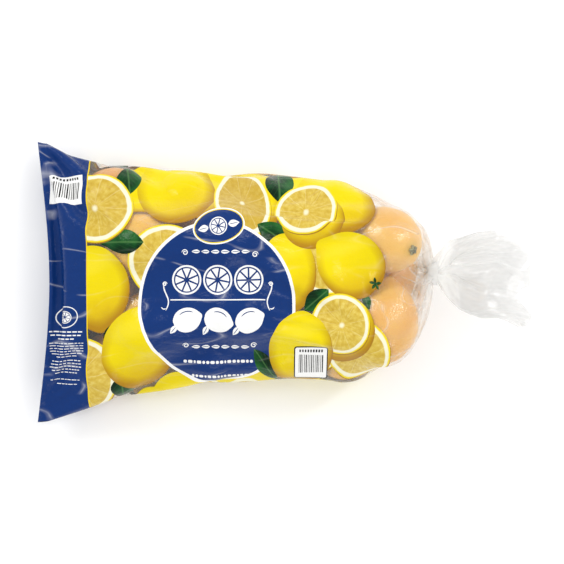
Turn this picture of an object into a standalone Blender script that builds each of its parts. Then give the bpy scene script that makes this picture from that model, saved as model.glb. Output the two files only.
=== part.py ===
"""Clear film bag filled with lemons, lying on its back.

The flat heat seal with its two corners is at -X. The gathered neck, its clear tie and the flared tail are at +X.
The printed face looks up. The filled bag is one solid: its surface is the film, drawn over the lemons inside.
"""
import math

import bpy
import numpy as np

# sizes, metres
LEMON_DIAMETER = 0.060
LEMON_LENGTH = 0.073
LEMON_SPREAD = 0.05            # lemons differ by up to this share in size
END_OFFSET = 0.0135            # the two end spheres of a lemon sit this far from its centre
END_SHRINK = 0.0065            # and are this much smaller in radius

SEAL_X = -0.208                # middle of the sealed edge
SEAL_BOW = 0.0112              # the corners reach this much further out than the middle
SEAL_Z = 0.037
SEAL_DROOP = 0.014             # the corners hang this much lower than the middle
SEAL_THICKNESS = 0.0014

BODY_START = -0.200
NECK_X = 0.134
NECK_Y = 0.0085
NECK_Z = 0.046
NECK_RADIUS = 0.0105

TIE_WIDTH = 0.009
TIE_THICKNESS = 0.0007
TIE_GAP = 0.0003
STRIP_LENGTH = 0.019
STRIP_WIDTH = 0.004

EDGE_THICKNESS = 0.006         # half height of the folded film along the long sides
BRIDGE_RADIUS = 0.16           # how tightly the film dips between two lemons
GRID = 121                     # stations along the bag where the film is worked out
SLICES = 720                   # directions round each station
ROUND = 64                     # points round each ring of the finished solid
BODY_RINGS = 44
TAIL_RINGS = 9

# the filled bag from above: distance along, far edge, near edge
OUTLINE = ((-0.2195, 0.1275, -0.1275), (-0.2120, 0.1228, -0.1258), (-0.2010, 0.1160, -0.1205),
           (-0.1900, 0.1070, -0.1145), (-0.1795, 0.1035, -0.1118), (-0.1690, 0.1037, -0.1105),
           (-0.1580, 0.1043, -0.1050), (-0.1460, 0.1040, -0.0985), (-0.1360, 0.1033, -0.0972),
           (-0.1040, 0.0999, -0.0945), (-0.0820, 0.0963, -0.0900), (-0.0610, 0.0922, -0.0858),
           (-0.0180, 0.0936, -0.0838), (0.0260, 0.0944, -0.0847), (0.0470, 0.0900, -0.0891),
           (0.0580, 0.0847, -0.0888), (0.0800, 0.0750, -0.0790), (0.0910, 0.0711, -0.0738),
           (0.1010, 0.0650, -0.0668), (0.1120, 0.0505, -0.0595))

# from the last lemons to the neck: distance along, share of the filled section that is left
SHOULDER = ((0.1120, 1.0), (0.1180, 0.80), (0.1235, 0.54), (0.1270, 0.30), (0.1295, 0.0))

# the flared tail: distance along, far edge, near edge, half thickness, height of its middle
TAIL = ((0.139, 0.0195, -0.0030, 0.0105, 0.0455), (0.146, 0.0310, -0.0185, 0.0135, 0.0430),
        (0.155, 0.0380, -0.0245, 0.0170, 0.0400), (0.166, 0.0408, -0.0300, 0.0200, 0.0365),
        (0.177, 0.0425, -0.0358, 0.0225, 0.0330), (0.188, 0.0440, -0.0362, 0.0235, 0.0305),
        (0.199, 0.0435, -0.0368, 0.0240, 0.0290), (0.219, 0.0430, -0.0415, 0.0240, 0.0280))
# where the tail's open edge ends: across the tail, distance along
RIM = ((-0.0415, 0.2190), (-0.0330, 0.2175), (-0.0200, 0.2100), (-0.0020, 0.2070), (0.0120, 0.2115),
       (0.0234, 0.2165), (0.0350, 0.2030), (0.0440, 0.1900))
PLEATS = 11


def lemon_rows():
    """Lemons as they are laid in: three across below, two across above, two turned crosswise by the neck."""
    rows = [(x, y, 0.030, 0.0) for x in (-0.140, -0.066, 0.008) for y in (-0.060, 0.0, 0.060)]
    rows += [(0.072, -0.052, 0.030, 25.0), (0.078, 0.012, 0.030, 0.0), (0.062, 0.058, 0.032, -35.0)]
    rows += [(x, y, 0.075, 0.0) for x in (-0.112, -0.042) for y in (-0.032, 0.030)]
    rows += [(0.026, 0.006, 0.075, 0.0), (0.100, -0.026, 0.075, 90.0), (0.090, 0.042, 0.070, -48.0)]
    return np.array(rows)


def settle_lemons(steps=600):
    """Let the lemons push each other apart and down inside the bag; gives centres, axes and sizes."""
    rows = lemon_rows()
    count = len(rows)
    rng = np.random.default_rng(5)
    centre = rows[:, :3].copy()
    yaw = np.radians(rows[:, 3] + rng.uniform(-25, 25, count) * (rows[:, 3] == 0))
    pitch = np.radians(rng.uniform(-12, 12, count))
    axis = np.stack([np.cos(yaw) * np.cos(pitch), np.sin(yaw) * np.cos(pitch), np.sin(pitch)], 1)
    size = rng.uniform(1 - LEMON_SPREAD, 1 + LEMON_SPREAD, count)
    middle = LEMON_DIAMETER / 2 * size
    offset = END_OFFSET * size
    end = middle - END_SHRINK * size
    wall = np.array(OUTLINE)
    radius = np.stack([end, middle, end], 1).reshape(-1)
    owner = np.repeat(np.arange(count), 3)
    apart = owner[:, None] != owner[None]
    for step in range(steps):
        centre[:, 2] -= 0.0006 * (1 - step / steps)
        reach = axis * offset[:, None]
        ball = np.stack([centre - reach, centre, centre + reach], 1).reshape(-1, 3)
        between = ball[:, None] - ball[None]
        distance = np.linalg.norm(between, axis=2) + 1e-9
        press = np.maximum(radius[:, None] + radius[None] - distance, 0) * apart
        move = (between / distance[..., None] * press[..., None]).sum(1) * 0.175
        far = np.interp(ball[:, 0], wall[:, 0], wall[:, 1])
        near = np.interp(ball[:, 0], wall[:, 0], wall[:, 2])
        over = np.maximum(ball[:, 1] + radius - far + 0.001, 0)
        under = np.maximum(near + 0.001 - ball[:, 1] + radius, 0)
        move[:, 1] += 0.5 * (under - over)
        move[:, 0] -= 0.25 * (over + under) * (ball[:, 0] > 0.05)
        move[:, 0] += 0.25 * np.maximum(radius - ball[:, 0] - 0.190, 0)
        move[:, 0] -= 0.5 * np.maximum(ball[:, 0] + radius - 0.120, 0)
        move[:, 2] += np.maximum(radius + 0.0005 - ball[:, 2], 0)
        move = move.reshape(count, 3, 3)
        turn = np.cross(reach, move[:, 2] - move[:, 0]) / (4 * offset[:, None] ** 2)
        axis = axis + np.cross(turn, axis)
        axis /= np.linalg.norm(axis, axis=1)[:, None]
        centre = centre + move.mean(1) * 1.5
    return centre, axis, size


def film_reach(stations):
    """How far the film reaches in each direction round each station: over the lemons and between them."""
    centre, axis, size = settle_lemons()
    angle = np.linspace(0, 2 * math.pi, SLICES, endpoint=False)
    side = np.stack([np.cos(angle), np.sin(angle)], 1)
    reach = np.full((len(stations), SLICES), -0.2)
    for c, a, s in zip(centre, axis, size):
        wide = LEMON_DIAMETER / 2 * s
        long = LEMON_LENGTH / 2 * s
        spread = wide ** 2 * np.eye(3) + (long ** 2 - wide ** 2) * np.outer(a, a)
        along = stations - c[0]
        inside = 1 - along ** 2 / spread[0, 0]
        cut = spread[1:, 1:] - np.outer(spread[1:, 0], spread[0, 1:]) / spread[0, 0]
        middle = c[1:] + along[:, None] * spread[1:, 0] / spread[0, 0]
        support = np.sqrt(np.einsum("ij,jk,ik->i", side, cut, side))
        value = middle @ side.T + np.sqrt(np.maximum(inside, 0))[:, None] * support
        reach = np.where(inside[:, None] > 0, np.maximum(reach, value), reach)
    # the film leaves the seal as straight as it can
    reach[0] = np.maximum(reach[0], SEAL_Z * side[:, 1] + 0.09 * np.abs(side[:, 0]))
    gap = (stations[:, None] - stations[None]) ** 2 / (2 * BRIDGE_RADIUS)
    grown = (reach[None] - gap[..., None]).max(1)
    return (grown[None] + gap[..., None]).min(1), side


def rings_of_film(stations):
    """Closed convex rings, ROUND points each, starting at the far edge and going over the top."""
    reach, side = film_reach(stations)
    wall = np.array(OUTLINE)
    rings = []
    for x, h in zip(stations, reach):
        corner = x - SEAL_BOW * seal_share(x)
        far = np.interp(corner, wall[:, 0], wall[:, 1])
        near = np.interp(corner, wall[:, 0], wall[:, 2])
        z = np.interp(x, (-0.2, -0.13, 0.10), (SEAL_Z, 0.040, 0.045))
        thick = np.interp(x, (-0.2, -0.18), (0.004, EDGE_THICKNESS))
        mid = np.array([(far + near) / 2, z])
        edge = np.sqrt(((far - near) / 2 * side[:, 0]) ** 2 + (thick * side[:, 1]) ** 2)
        # lemons never push the sides past the outline
        limit = np.where(side[:, 0] > 0, far, -near) / np.maximum(np.abs(side[:, 0]), 1e-6)
        h = np.minimum(h, limit + np.abs(side[:, 1]) * 0.2)
        h = np.maximum(h - side @ mid, edge)
        turn = side @ side.T
        r = np.where(turn > 0.05, h[None] / np.maximum(turn, 0.05), 9.0).min(1)
        ring = mid + side * r[:, None]
        ring[:, 1] = np.maximum(ring[:, 1], 0.0)
        rings.append(half_by_half(ring))
    return rings


def half_by_half(ring):
    """Even spacing over the top and over the bottom, so the side folds line up from ring to ring."""
    ring = np.vstack([ring, ring[:1]])
    turn = len(ring) // 2
    out = []
    for piece in (ring[:turn + 1], ring[turn:]):
        length = np.concatenate([[0], np.cumsum(np.linalg.norm(np.diff(piece, axis=0), axis=1))])
        at = np.linspace(0, length[-1], ROUND // 2, endpoint=False)
        out.append(np.stack([np.interp(at, length, piece[:, k]) for k in (0, 1)], 1))
    return np.vstack(out)


def seal_share(x):
    """One at the seal, fading to nothing where the bag is full."""
    return max(0.0, min(1.0, (BODY_START + 0.05 - x) / 0.05))


def seal_rings():
    """The welded strip: a thin flat lip, bowed outwards and drooping at both corners."""
    wall = np.array(OUTLINE)
    t = np.linspace(0, 1, ROUND // 2, endpoint=False)
    share = np.concatenate([1 - 2 * t, 2 * t - 1])
    top = np.concatenate([np.sin(math.pi * t), -np.sin(math.pi * t)])
    rings = []
    for along, thick in ((0.0, 0.5), (0.45, 0.55), (1.0, 0.75)):
        back = SEAL_X + along * (BODY_START - SEAL_X - 0.002)
        far = np.interp(back - SEAL_BOW, wall[:, 0], wall[:, 1])
        near = np.interp(back - SEAL_BOW, wall[:, 0], wall[:, 2])
        x = back - SEAL_BOW * np.abs(share) ** 2.2
        y = (far + near) / 2 + share * (far - near) / 2
        z = SEAL_Z - SEAL_DROOP * share ** 2 + top * SEAL_THICKNESS * thick + np.sign(top) * 0.0002
        rings.append(np.stack([x, y, z], 1))
    return rings


def body_rings():
    """Rings of the filled part, from just behind the seal to the last lemons."""
    fine = np.linspace(BODY_START, SHOULDER[0][0], GRID)
    sections = rings_of_film(fine)
    t = np.linspace(0, 1, BODY_RINGS)
    pick = np.unique(np.round((GRID - 1) * (t - 0.06 * np.sin(2 * math.pi * t))).astype(int))
    rings = []
    for k in pick:
        ring = sections[k]
        half = (ring[:, 0].max() - ring[:, 0].min()) / 2
        mid = (ring[:, 0].max() + ring[:, 0].min()) / 2
        share = np.abs(np.clip((ring[:, 0] - mid) / half, -1, 1))
        fade = seal_share(fine[k])
        z = ring[:, 1] - SEAL_DROOP * fade ** 2 * share ** 2
        rings.append(np.stack([fine[k] - SEAL_BOW * fade * share ** 2.2, ring[:, 0], np.maximum(z, 0)], 1))
    return rings


def neck_circle(x):
    angle = np.linspace(0, 2 * math.pi, ROUND, endpoint=False)
    y = NECK_Y + NECK_RADIUS * np.cos(angle)
    return np.column_stack([np.full(ROUND, x), y, NECK_Z + NECK_RADIUS * np.sin(angle)])


def shoulder_rings(full):
    """The film drawn in from the last full ring to the round neck."""
    rings = []
    for x, left in SHOULDER[1:]:
        ring = full * left + neck_circle(x) * (1 - left)
        ring[:, 0] = x
        rings.append(ring)
    return rings


def tail_rings():
    """The gathered film past the neck: star pleats that open into a flared, uneven edge."""
    station = np.array(TAIL)
    rim = np.array(RIM)
    angle = np.linspace(0, 2 * math.pi, ROUND, endpoint=False)
    start = TAIL[0][0]
    rings = []
    for k in range(TAIL_RINGS):
        s = k / (TAIL_RINGS - 1)
        x = np.full(ROUND, start + s * (0.219 - start))
        for _ in range(4):
            far, near, thick, mid = [np.interp(x, station[:, 0], station[:, c]) for c in (1, 2, 3, 4)]
            fold = 0.5 + 0.5 * np.cos(PLEATS * angle + 1.3 * np.sin(2 * angle))
            pleat = 1 - 0.20 * min(1.0, s * 3) * fold
            y = (far + near) / 2 + (far - near) / 2 * np.cos(angle)
            end = np.interp(y, rim[:, 0], rim[:, 1])
            x = start + s * (end - start)
        lift = np.sin(angle) * thick * pleat
        rings.append(np.stack([x, y, mid + lift], 1))
    return rings


def bag_mesh():
    rings = seal_rings() + body_rings()
    rings += shoulder_rings(rings[-1])
    rings.append(neck_circle(NECK_X + TIE_WIDTH / 2))
    rings += tail_rings()
    points = [tuple(p) for ring in rings for p in ring]
    faces = []
    for k in range(len(rings) - 1):
        for j in range(ROUND):
            n = (j + 1) % ROUND
            faces.append((k * ROUND + j, k * ROUND + n, (k + 1) * ROUND + n, (k + 1) * ROUND + j))
    # the seal's edge is closed point to point, straight across its thickness
    faces.append((1, 0, ROUND - 1))
    for j in range(1, ROUND // 2 - 1):
        faces.append((j + 1, j, ROUND - j, ROUND - j - 1))
    faces.append((ROUND // 2, ROUND // 2 - 1, ROUND // 2 + 1))
    # the tail's mouth is closed by a shallow dish
    last = (len(rings) - 1) * ROUND
    dish = np.mean(rings[-1], axis=0)
    points.append((float(dish[0]) - 0.016, float(dish[1]), float(dish[2])))
    for j in range(ROUND):
        faces.append((last + j, last + (j + 1) % ROUND, len(points) - 1))
    return points, faces


def tie_mesh():
    """A clear band once round the neck, its free end standing out beside the tail."""
    inner = NECK_RADIUS + TIE_GAP
    outer = inner + TIE_THICKNESS
    count = 48
    points = []
    for x, r in ((-0.5, inner), (-0.5, outer), (0.5, outer), (0.5, inner)):
        for j in range(count):
            a = 2 * math.pi * j / count
            along = NECK_X + x * (TIE_WIDTH - 0.0006)
            points.append((along, NECK_Y + r * math.cos(a), NECK_Z + r * math.sin(a)))
    faces = []
    for k in range(4):
        for j in range(count):
            n = (j + 1) % count
            faces.append((k * count + j, k * count + n, (k + 1) % 4 * count + n, (k + 1) % 4 * count + j))
    return points, faces


def strip_mesh():
    """Free end of the tie: a short flat ribbon that leaves the band at its upper far side."""
    base = np.array((NECK_X, NECK_Y + 0.0094, NECK_Z + 0.0076))
    run = np.array((0.60, 0.72, 0.35))
    run = run / np.linalg.norm(run)
    across = np.cross(run, (0, 0, 1))
    across = across / np.linalg.norm(across)
    up = np.cross(across, run)
    points = []
    for k in range(5):
        s = k / 4
        middle = base + run * STRIP_LENGTH * s + up * 0.002 * math.sin(math.pi * s)
        for a, b in ((-1, -1), (1, -1), (1, 1), (-1, 1)):
            p = middle + across * a * STRIP_WIDTH / 2 + up * b * TIE_THICKNESS / 2
            points.append(tuple(p))
    faces = [(0, 1, 2, 3), (19, 18, 17, 16)]
    for k in range(4):
        for j in range(4):
            n = (j + 1) % 4
            faces.append((k * 4 + n, k * 4 + j, k * 4 + 4 + j, k * 4 + 4 + n))
    return points, faces


def material(name, colour, roughness):
    made = bpy.data.materials.new(name)
    made.use_nodes = True
    shader = made.node_tree.nodes["Principled BSDF"]
    shader.inputs["Base Color"].default_value = (*colour, 1.0)
    shader.inputs["Roughness"].default_value = roughness
    shader.inputs["Metallic"].default_value = 0.0
    return made


def add_object(name, mesh_data, made):
    points, faces = mesh_data
    mesh = bpy.data.meshes.new(name)
    mesh.from_pydata([tuple(float(v) for v in p) for p in points], [], faces)
    mesh.validate()
    obj = bpy.data.objects.new(name, mesh)
    bpy.context.collection.objects.link(obj)
    bpy.context.view_layer.objects.active = obj
    obj.select_set(True)
    bpy.ops.object.mode_set(mode="EDIT")
    bpy.ops.mesh.select_all(action="SELECT")
    bpy.ops.mesh.quads_convert_to_tris()
    bpy.ops.mesh.normals_make_consistent(inside=False)
    bpy.ops.object.mode_set(mode="OBJECT")
    obj.select_set(False)
    mesh.shade_smooth()
    mesh.set_sharp_from_angle(angle=math.radians(40))
    mesh.materials.append(made)
    return obj


for old in list(bpy.data.objects):
    bpy.data.objects.remove(old, do_unlink=True)

add_object("bag", bag_mesh(), material("film_bag", (0.86, 0.67, 0.11), 0.25))
tie = add_object("neck_tie", tie_mesh(), material("clear_tie", (0.90, 0.90, 0.88), 0.15))
strip = add_object("neck_tie_end", strip_mesh(), tie.data.materials[0])
strip.hide_render = True
strip.display_type = "WIRE"
join = tie.modifiers.new("join", "BOOLEAN")
join.operation = "UNION"
join.solver = "EXACT"
join.object = strip
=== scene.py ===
"""A clear printed film bag of lemons, lying on its back: loose fruit, drawn film with its print, neck tie."""
import math

import bpy
import numpy as np
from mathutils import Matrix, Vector
from mathutils.geometry import delaunay_2d_cdt


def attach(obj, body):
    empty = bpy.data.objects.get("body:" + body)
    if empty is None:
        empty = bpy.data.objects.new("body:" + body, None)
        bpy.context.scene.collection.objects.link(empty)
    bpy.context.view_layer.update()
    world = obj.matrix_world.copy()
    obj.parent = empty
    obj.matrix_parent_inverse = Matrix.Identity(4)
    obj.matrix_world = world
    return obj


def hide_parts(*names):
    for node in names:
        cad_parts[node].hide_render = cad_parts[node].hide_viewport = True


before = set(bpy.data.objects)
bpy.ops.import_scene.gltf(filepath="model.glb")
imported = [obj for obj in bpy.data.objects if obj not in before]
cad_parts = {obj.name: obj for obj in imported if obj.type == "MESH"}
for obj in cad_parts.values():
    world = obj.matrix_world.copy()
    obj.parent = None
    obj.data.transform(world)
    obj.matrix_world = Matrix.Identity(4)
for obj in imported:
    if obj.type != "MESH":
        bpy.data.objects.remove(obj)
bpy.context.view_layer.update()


# ---- The lemons --------------------------------------------------------------------------------------------
# Nineteen whole lemons lie loose in the bag, two deep: three across below and two across on top, with two
# turned crosswise against the gathered neck. They have pushed each other apart until they rest.
LEMON_RADIUS = 0.030
LEMON_HALF_LENGTH = 0.0352
NIPPLE = 0.0042
REST = 0.0007  # the film's own height under the lowest lemons
END_BALL_OFFSET = 0.0135
END_BALL_LESS = 0.0065

# the filled bag from above: distance along, far edge, near edge
OUTLINE = np.array((
    (-0.2195, 0.1275, -0.1275), (-0.2120, 0.1228, -0.1258), (-0.2010, 0.1160, -0.1205),
    (-0.1900, 0.1070, -0.1145), (-0.1795, 0.1035, -0.1118), (-0.1690, 0.1037, -0.1105),
    (-0.1580, 0.1043, -0.1050), (-0.1460, 0.1040, -0.0985), (-0.1360, 0.1033, -0.0972),
    (-0.1040, 0.0999, -0.0945), (-0.0820, 0.0963, -0.0900), (-0.0610, 0.0922, -0.0858),
    (-0.0180, 0.0936, -0.0838), (0.0260, 0.0944, -0.0847), (0.0470, 0.0900, -0.0891),
    (0.0580, 0.0847, -0.0888), (0.0800, 0.0750, -0.0790), (0.0910, 0.0711, -0.0738),
    (0.1010, 0.0650, -0.0668), (0.1120, 0.0505, -0.0595)))


def settle_lemons(steps=600):
    """Lay the lemons in rows and let them push each other apart and down; centres, long axes and sizes.

    While they settle, each is three balls along its long axis, the two end balls smaller.
    """
    rows = [(x, y, 0.030, 0.0) for x in (-0.140, -0.066, 0.008) for y in (-0.060, 0.0, 0.060)]
    rows += [(0.072, -0.052, 0.030, 25.0), (0.078, 0.012, 0.030, 0.0), (0.062, 0.058, 0.032, -35.0)]
    rows += [(x, y, 0.075, 0.0) for x in (-0.112, -0.042) for y in (-0.032, 0.030)]
    rows += [(0.026, 0.006, 0.075, 0.0), (0.100, -0.026, 0.075, 90.0), (0.090, 0.042, 0.070, -48.0)]
    rows = np.array(rows)
    count = len(rows)
    rng = np.random.default_rng(5)
    centre = rows[:, :3].copy()
    yaw = np.radians(rows[:, 3] + rng.uniform(-25, 25, count) * (rows[:, 3] == 0))
    pitch = np.radians(rng.uniform(-12, 12, count))
    axis = np.stack([np.cos(yaw) * np.cos(pitch), np.sin(yaw) * np.cos(pitch), np.sin(pitch)], 1)
    size = rng.uniform(0.95, 1.05, count)
    middle = LEMON_RADIUS * size
    offset = END_BALL_OFFSET * size
    end = middle - END_BALL_LESS * size
    radius = np.stack([end, middle, end], 1).reshape(-1)
    owner = np.repeat(np.arange(count), 3)
    apart = owner[:, None] != owner[None]
    for step in range(steps):
        centre[:, 2] -= 0.0006 * (1 - step / steps)
        reach = axis * offset[:, None]
        ball = np.stack([centre - reach, centre, centre + reach], 1).reshape(-1, 3)
        between = ball[:, None] - ball[None]
        distance = np.linalg.norm(between, axis=2) + 1e-9
        press = np.maximum(radius[:, None] + radius[None] - distance, 0) * apart
        move = (between / distance[..., None] * press[..., None]).sum(1) * 0.175
        far = np.interp(ball[:, 0], OUTLINE[:, 0], OUTLINE[:, 1])
        near = np.interp(ball[:, 0], OUTLINE[:, 0], OUTLINE[:, 2])
        over = np.maximum(ball[:, 1] + radius - far + 0.001, 0)
        under = np.maximum(near + 0.001 - ball[:, 1] + radius, 0)
        move[:, 1] += 0.5 * (under - over)
        move[:, 0] -= 0.25 * (over + under) * (ball[:, 0] > 0.05)
        move[:, 0] += 0.25 * np.maximum(radius - ball[:, 0] - 0.190, 0)
        move[:, 0] -= 0.5 * np.maximum(ball[:, 0] + radius - 0.120, 0)
        move[:, 2] += np.maximum(radius + 0.0005 - ball[:, 2], 0)
        move = move.reshape(count, 3, 3)
        turn = np.cross(reach, move[:, 2] - move[:, 0]) / (4 * offset[:, None] ** 2)
        axis = axis + np.cross(turn, axis)
        axis /= np.linalg.norm(axis, axis=1)[:, None]
        centre = centre + move.mean(1) * 1.5
    return centre, axis, size


def lemon_profile(angle):
    """Half outline of a lemon of unit size: along, across. Angle 0 is the nipple, pi the stem end."""
    back = math.pi - angle
    along = np.cos(angle) + 0.105 * np.exp(-(angle / 0.27) ** 2) + 0.02 * np.exp(-(angle / 0.6) ** 2)
    along = along - 0.035 * np.exp(-(back / 0.35) ** 2) + 0.045 * np.exp(-(back / 0.13) ** 2)
    across = np.sin(angle) * (1 - 0.05 * np.cos(angle))
    return along, across


def read_points(made):
    points = np.zeros(len(made.data.vertices) * 3)
    made.data.vertices.foreach_get("co", points)
    return points.reshape(-1, 3)


def pick(made, chosen):
    """Select the chosen points, and what lies between them, for the next edit-mode step."""
    mesh = made.data
    for part in (mesh.vertices, mesh.edges, mesh.polygons):
        part.foreach_set("select", np.zeros(len(part), dtype=bool))
    mesh.vertices.foreach_set("select", chosen)
    bpy.ops.object.mode_set(mode="EDIT")
    bpy.ops.mesh.select_mode(type="VERT")


def stand_to(made, centre, axis):
    """Lay a piece modelled upright along the axis, about its centre, and leave its object at the origin."""
    made.rotation_euler = Vector(axis).to_track_quat("Z", "Y").to_euler()
    made.location = centre
    bpy.ops.object.transform_apply(location=True, rotation=True, scale=True)


def join_all(pieces, name):
    """One object from like pieces, nothing of it under the table."""
    bpy.ops.object.select_all(action="DESELECT")
    for piece in pieces:
        piece.select_set(True)
    bpy.context.view_layer.objects.active = pieces[0]
    bpy.ops.object.join()
    joined = bpy.context.object
    joined.name = joined.data.name = name
    points = read_points(joined)
    points[:, 2] = np.maximum(points[:, 2], REST)
    joined.data.vertices.foreach_set("co", points.ravel())
    joined.data.shade_smooth()
    return joined


def lemon(own, centre, axis, size, unevenness):
    """A ball drawn out along its axis, its nipple pulled up, its stem end pressed in, its peel uneven.

    own, between 0 and 1, gives each lemon a tone of its own.
    """
    radius = LEMON_RADIUS * size
    half = LEMON_HALF_LENGTH * size
    bpy.ops.object.select_all(action="DESELECT")
    bpy.ops.mesh.primitive_uv_sphere_add(segments=60, ring_count=44, radius=radius)
    made = bpy.context.object
    pick(made, np.ones(len(made.data.vertices), dtype=bool))
    bpy.ops.transform.resize(value=(1, 1, half / radius))
    bpy.ops.object.mode_set(mode="OBJECT")
    # at the tip or the stem end: how far to pull, and over what reach
    pulls = (
        (True, NIPPLE, 0.020), (True, NIPPLE * 0.3, 0.034), (False, 0.0016, 0.012), (False, -0.0012, 0.026))
    for top, move, reach in pulls:
        height = read_points(made)[:, 2]
        tip = height > height.max() - 0.0001 if top else height < height.min() + 0.0001
        pick(made, tip)
        bpy.ops.transform.translate(value=(0, 0, move * size), use_proportional_edit=True,
                                    proportional_edit_falloff="SHARP" if top else "SMOOTH",
                                    proportional_size=reach * size)
        bpy.ops.object.mode_set(mode="OBJECT")
    height = read_points(made)[:, 2]
    share = np.arccos(np.clip(height / np.where(height > 0, height.max(), -height.min()), -1, 1)) / math.pi
    ends = made.data.attributes.new("ends", "FLOAT_VECTOR", "POINT")
    values = np.stack([share, np.full(len(share), own), share * 0], 1)
    ends.data.foreach_set("vector", values.astype(np.float32).ravel())
    stand_to(made, centre, axis)
    swell = made.modifiers.new("uneven", "DISPLACE")
    swell.texture = unevenness
    swell.strength = 0.0030
    swell.mid_level = 0.58
    bpy.ops.object.modifier_apply(modifier=swell.name)
    return made


centres, axes, sizes = settle_lemons()
# the last one, by the neck, lies with its stem end up and outwards
tipped = np.array((-0.68, 0.26, -0.68))
axes[-1] = tipped / np.linalg.norm(tipped)
unevenness = bpy.data.textures.new("uneven_growth", "CLOUDS")
unevenness.noise_scale = 0.028
count = len(centres)
lemon_object = join_all(
    [lemon(k / count, centres[k], axes[k], sizes[k], unevenness) for k in range(count)], "lemons")


def new_material(name):
    made = bpy.data.materials.new(name)
    made.use_nodes = True
    tree = made.node_tree
    for node in list(tree.nodes):
        tree.nodes.remove(node)
    output = tree.nodes.new("ShaderNodeOutputMaterial")
    return made, tree, output


def feed(tree, socket, value):
    """Link a socket to another node's output, or set its value."""
    if isinstance(value, bpy.types.NodeSocket):
        tree.links.new(value, socket)
    else:
        socket.default_value = value


def add(tree, kind, links=None, **values):
    """A node with its properties and socket values set, and its inputs linked."""
    node = tree.nodes.new(kind)
    for key, value in values.items():
        setattr(node, key, value)
    for key, value in (links or {}).items():
        feed(tree, node.inputs[key], value)
    return node


def srgb(r, g, b):
    """Linear colour of an sRGB colour given in 0 to 255."""
    out = []
    for c in (r, g, b):
        c = c / 255
        out.append(c / 12.92 if c <= 0.04045 else ((c + 0.055) / 1.055) ** 2.4)
    return (*out, 1.0)


def ramp(tree, factor, stops):
    node = add(tree, "ShaderNodeValToRGB", {"Fac": factor})
    while len(node.color_ramp.elements) < len(stops):
        node.color_ramp.elements.new(0.5)
    for element, (place, colour) in zip(node.color_ramp.elements, stops):
        element.position = place
        element.color = colour
    return node.outputs["Color"]


def mix_colour(tree, factor, a, b, blend="MIX"):
    node = add(tree, "ShaderNodeMix", data_type="RGBA", blend_type=blend)
    feed(tree, node.inputs["Factor"], factor)
    feed(tree, node.inputs[6], a)
    feed(tree, node.inputs[7], b)
    return node.outputs[2]


def maths(tree, operation, a, b=0.0, clamp=False):
    return add(tree, "ShaderNodeMath", {0: a, 1: b}, operation=operation, use_clamp=clamp).outputs[0]


def times(tree, a, b, clamp=False):
    return maths(tree, "MULTIPLY", a, b, clamp)


def plus(tree, a, b, clamp=False):
    return maths(tree, "ADD", a, b, clamp)


def grey(value):
    return (value, value, value, 1)


def fade(tree, value, start, stop, first=1, last=0):
    """One grey up to start, another from stop on, and an even change between them."""
    return ramp(tree, value, ((start, grey(first)), (stop, grey(last))))


def noise(tree, place, scale, detail=2.0, **more):
    """The grey output of a noise texture."""
    links = {"Vector": place, "Scale": scale, "Detail": detail, **more}
    return add(tree, "ShaderNodeTexNoise", links).outputs["Fac"]


peel, tree, output = new_material("lemon_peel")
place = add(tree, "ShaderNodeTexCoord").outputs["Object"]
end_share = add(tree, "ShaderNodeAttribute", attribute_name="ends")
split = add(tree, "ShaderNodeSeparateXYZ", {"Vector": end_share.outputs["Vector"]})
patches = noise(tree, place, 28.0, 3.0, Roughness=0.5)
each = add(tree, "ShaderNodeTexWhiteNoise", {"W": split.outputs["Y"]}, noise_dimensions="1D")
tone = plus(tree, times(tree, patches, 0.7), times(tree, each.outputs["Value"], 0.45))
colour = ramp(tree, tone, (
    (0.25, srgb(212, 142, 30)), (0.55, srgb(219, 159, 42)), (0.85, srgb(227, 180, 68))))
tip = ramp(tree, split.outputs["X"], ((0.0, grey(1)), (0.10, grey(0)), (0.93, grey(0)), (1.0, grey(1))))
colour = mix_colour(tree, times(tree, tip, 0.45), colour, srgb(176, 158, 60))
pores = add(tree, "ShaderNodeTexVoronoi", {"Vector": place, "Scale": 620.0}, feature="SMOOTH_F1")
pit = fade(tree, pores.outputs["Distance"], 0.0, 0.42, 0, 1)
height = plus(tree, pit, times(tree, noise(tree, place, 160.0), 1.4))
bump = add(tree, "ShaderNodeBump", {"Height": height, "Strength": 0.55, "Distance": 0.0005})
# each pore is darker orange at its pit: partly the peel's own colour, partly painted shade in the recess
pore_tone_and_shade = times(tree, maths(tree, "SUBTRACT", 1.0, pit), 0.16)
colour = mix_colour(tree, pore_tone_and_shade, colour, srgb(214, 136, 30))
skin = add(tree, "ShaderNodeBsdfPrincipled", {
    "Base Color": colour, "Normal": bump.outputs["Normal"], "Roughness": 0.42, "Subsurface Weight": 0.12,
    "Subsurface Radius": (0.010, 0.005, 0.0015), "Subsurface Scale": 0.4, "Coat Weight": 0.15,
    "Coat Roughness": 0.3})
tree.links.new(skin.outputs[0], output.inputs["Surface"])
lemon_object.data.materials.append(peel)
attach(lemon_object, "root")


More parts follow.
